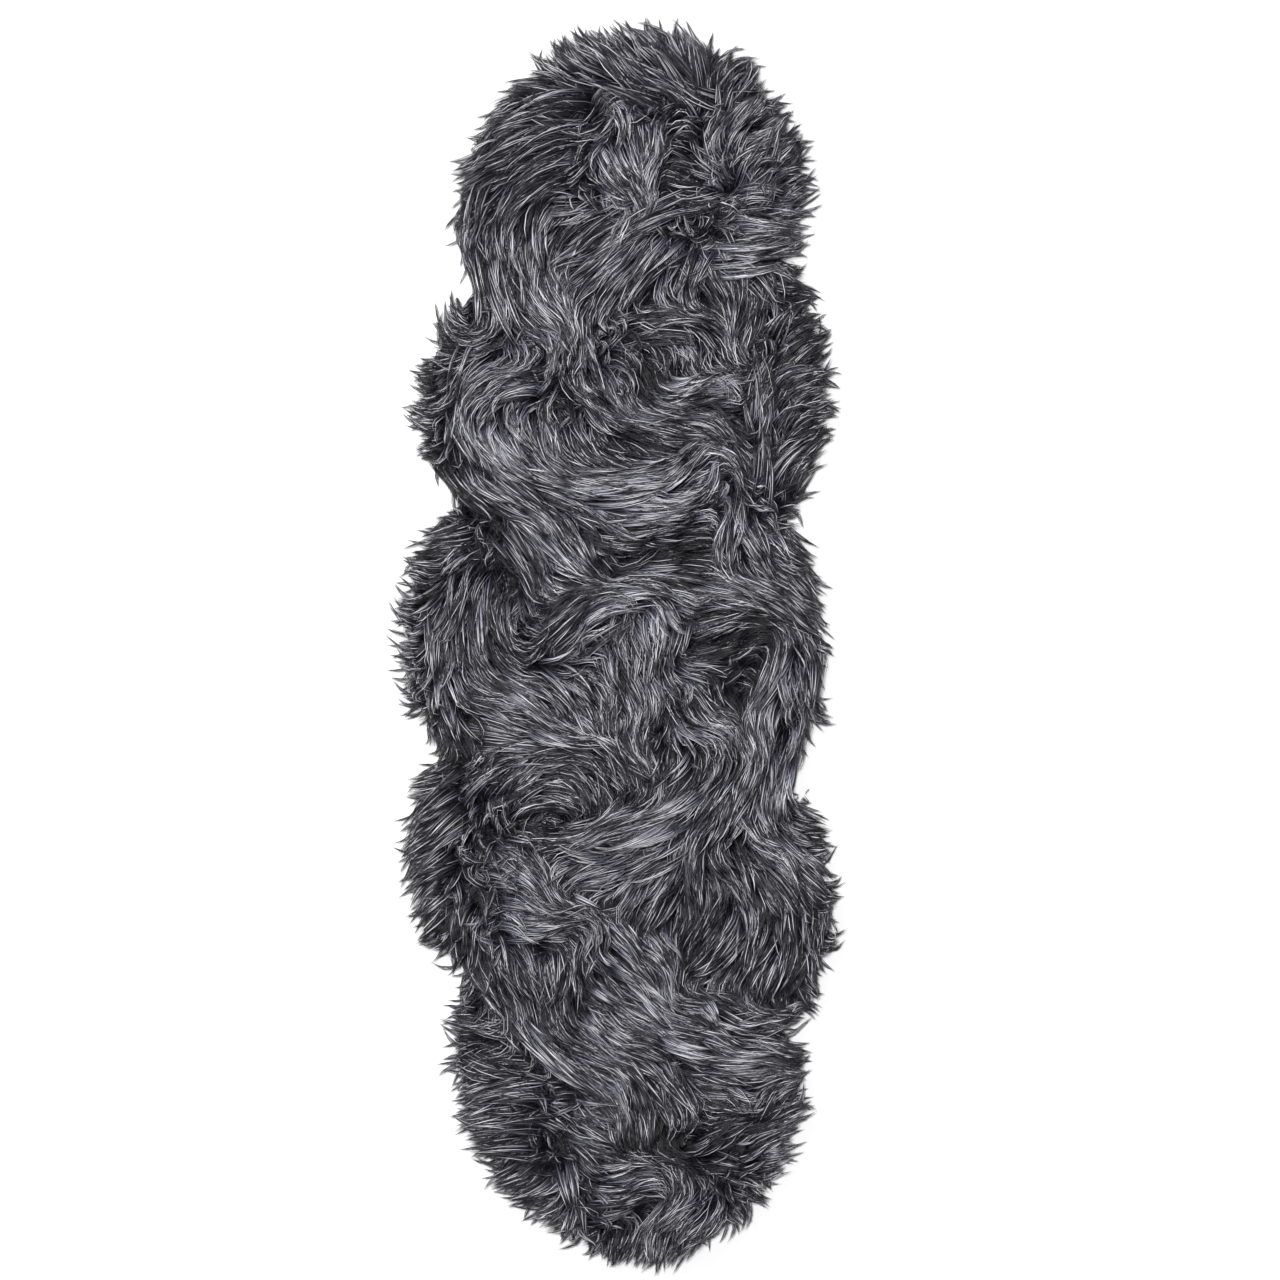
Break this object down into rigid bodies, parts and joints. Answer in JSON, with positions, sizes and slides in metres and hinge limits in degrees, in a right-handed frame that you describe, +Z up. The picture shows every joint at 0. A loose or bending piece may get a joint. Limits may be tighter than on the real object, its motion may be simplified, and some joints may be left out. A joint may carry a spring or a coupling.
{
  "type": "faux fur rug",
  "caption": "Long-pile charcoal faux-fur runner rug with a scalloped pelt outline, sewn from panels that fold at their waists, on a suede backing with grip dots.",
  "frame": {"origin": "centre of the bounding box on the floor, under the middle of the rug", "axes": "+Z up out of the pile, +Y along the rug's length towards the head end, +X across its width to the right when seen from above with the head end up"},
  "size_m": [0.66, 1.8281, 0.0445],
  "materials": {
    "fur_pile": "satin",
    "ground_knit": "matte",
    "interlining_felt": "matte",
    "backing_suede": "matte",
    "twill_tape": "matte",
    "grip_rubber": "satin",
    "thread": "satin",
    "label_cloth": "satin"
  },
  "bodies": {
    "head": {"head_backing": "backing_suede", "head_edge_binding": "twill_tape", "head_fur_pile": "fur_pile", "head_grip_dots": "grip_rubber", "head_ground_cloth": "ground_knit", "head_interlining": "interlining_felt", "head_shoulder_seam_tape": "twill_tape", "head_stitches_to_shoulder": "thread"},
    "shoulder": {"shoulder_backing": "backing_suede", "shoulder_centre_seam_tape": "twill_tape", "shoulder_edge_binding": "twill_tape", "shoulder_fur_pile": "fur_pile", "shoulder_grip_dots": "grip_rubber", "shoulder_ground_cloth": "ground_knit", "shoulder_interlining": "interlining_felt", "shoulder_stitches_to_centre": "thread", "shoulder_stitches_to_head": "thread"},
    "centre": {"centre_backing": "backing_suede", "centre_edge_binding": "twill_tape", "centre_fur_pile": "fur_pile", "centre_grip_dots": "grip_rubber", "centre_ground_cloth": "ground_knit", "centre_interlining": "interlining_felt", "centre_stitches_to_hip": "thread", "centre_stitches_to_shoulder": "thread"},
    "hip": {"centre_hip_seam_tape": "twill_tape", "hip_backing": "backing_suede", "hip_edge_binding": "twill_tape", "hip_fur_pile": "fur_pile", "hip_grip_dots": "grip_rubber", "hip_ground_cloth": "ground_knit", "hip_interlining": "interlining_felt", "hip_stitches_to_centre": "thread", "hip_stitches_to_tail": "thread"},
    "tail": {"care_label": "label_cloth", "hip_tail_seam_tape": "twill_tape", "tail_backing": "backing_suede", "tail_edge_binding": "twill_tape", "tail_fur_pile": "fur_pile", "tail_grip_dots": "grip_rubber", "tail_ground_cloth": "ground_knit", "tail_interlining": "interlining_felt", "tail_stitches_to_hip": "thread"}
  },
  "joints": [
    {"name": "fold_shoulder", "type": "hinge", "parent": "centre", "child": "shoulder", "pos_m": [0.007, 0.1985, 0], "axis": [0.999, -0.0452, 0], "range_deg": [-60, 60], "deforming": ["shoulder_centre_seam_tape"]},
    {"name": "fold_head", "type": "hinge", "parent": "shoulder", "child": "head", "pos_m": [0.018, 0.538, 0], "axis": [0.9958, 0.0918, 0], "range_deg": [-60, 60], "deforming": ["head_shoulder_seam_tape"]},
    {"name": "fold_hip", "type": "hinge", "parent": "centre", "child": "hip", "pos_m": [-0.0025, -0.1805, 0], "axis": [-0.9964, 0.0853, 0], "range_deg": [-60, 60], "deforming": ["centre_hip_seam_tape"]},
    {"name": "fold_tail", "type": "hinge", "parent": "hip", "child": "tail", "pos_m": [0.017, -0.5215, 0], "axis": [-0.982, 0.1887, 0], "range_deg": [-60, 60], "deforming": ["hip_tail_seam_tape"]}
  ]
}
